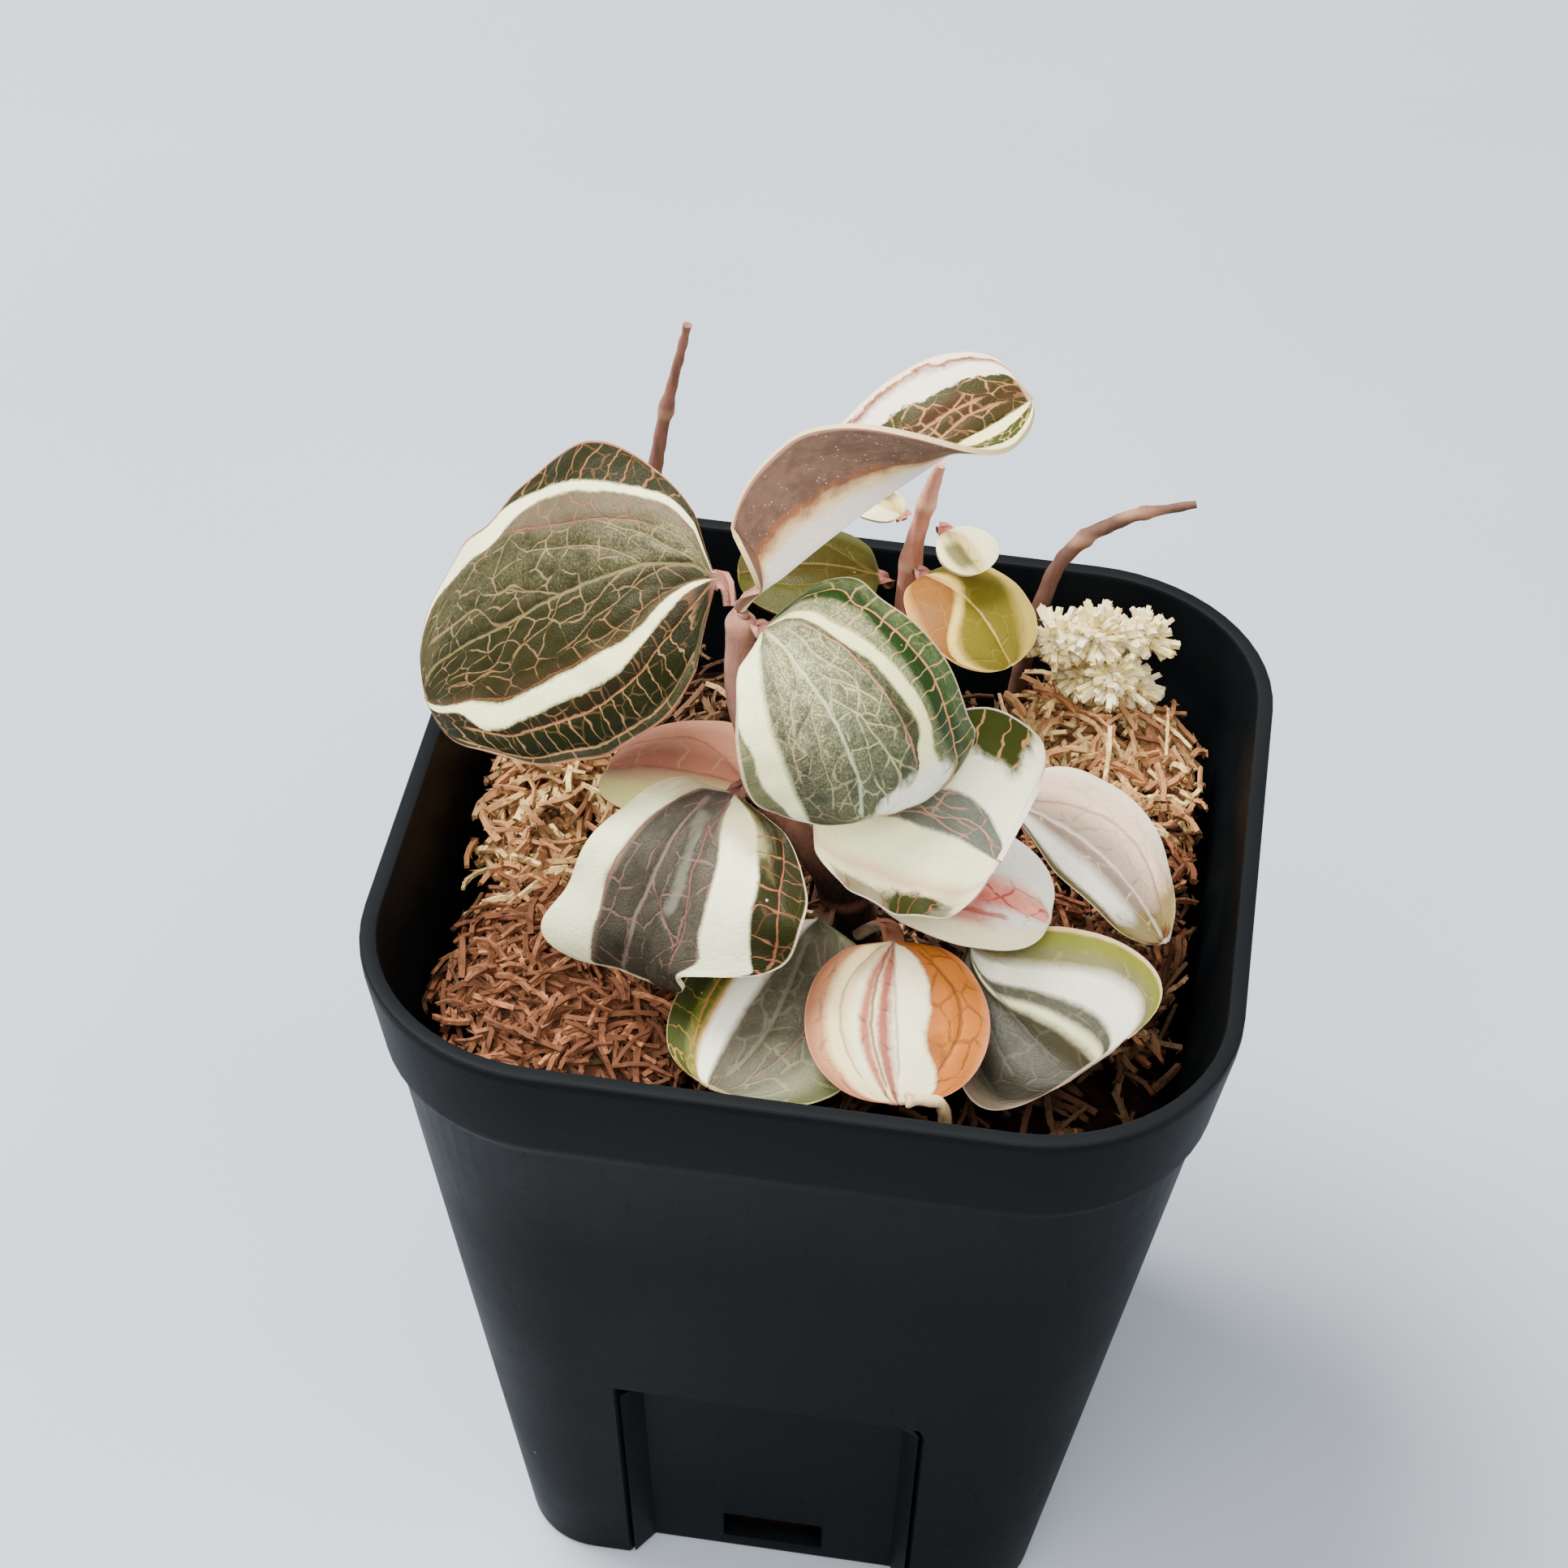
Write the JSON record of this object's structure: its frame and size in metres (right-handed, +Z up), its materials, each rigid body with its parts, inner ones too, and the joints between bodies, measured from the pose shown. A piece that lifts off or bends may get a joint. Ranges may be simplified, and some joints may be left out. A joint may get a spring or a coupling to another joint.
{
  "type": "potted jewel orchid",
  "caption": "Small striped-leaf jewel orchid growing in moss in a square tapered plastic nursery pot, to stand on a table or shelf.",
  "frame": {"origin": "centre of the pot's flat underside, on the surface it stands on", "axes": "+Z up along the pot's axis; +X and +Y square to the pot's sides, with the front that the picture shows at -Y"},
  "size_m": [0.07, 0.07, 0.1173],
  "materials": {
    "pot_plastic": "satin black, with fine ribs on the inner walls",
    "moss_dark": "moist dark red-brown moss strands",
    "moss_rust": "rust moss strands",
    "moss_beige": "dry beige moss strands",
    "moss_cream": "dry cream moss tuft",
    "moss_pale": "pale moss sprigs",
    "stem_brown": "fleshy pink-brown stem, satin",
    "stem_pink": "fleshy pink stem, satin",
    "stalk_dry": "dry matt red-brown flower stalk",
    "twig_pale": "dry pale twig",
    "leaf_green": "velvety green leaf with cream stripes and a net of tan veins",
    "leaf_silver": "silver-green leaf with cream stripes and whitish veins",
    "leaf_grey": "grey-green leaf with wide cream stripes and pink veins",
    "leaf_cream": "cream-white leaf with grey and pink patches",
    "leaf_pink_back": "pink-brown leaf underside with a white keel band",
    "leaf_orange": "cream and pink striped leaf with an orange side",
    "leaf_yellow_green": "yellow-green leaf with a cream stripe"
  },
  "bodies": {
    "root": {"pot": "pot_plastic", "moss_bed": "moss_dark", "moss_rust": "moss_rust", "moss_beige": "moss_beige", "moss_cream": "moss_cream", "moss_pale": "moss_pale", "main_stem": "stem_brown", "back_shoot_stem": "stem_pink", "dry_stalk_left": "stalk_dry", "dry_stalk_right": "stalk_dry", "dry_twig": "twig_pale", "leaf_top_left": "leaf_green", "leaf_top_folded": "leaf_pink_back", "leaf_top_front": "leaf_silver", "leaf_middle_left": "leaf_grey", "leaf_middle_right": "leaf_cream", "leaf_middle_back": "leaf_pink_back", "leaf_low_right": "leaf_cream", "leaf_low_right_front": "leaf_grey", "leaf_low_front": "leaf_orange", "leaf_low_left_front": "leaf_grey", "leaf_low_under": "leaf_cream", "leaf_back_left": "leaf_yellow_green", "leaf_back_right": "leaf_yellow_green", "leaf_back_top_left": "leaf_cream", "leaf_back_top_right": "leaf_cream"}
  },
  "joints": []
}
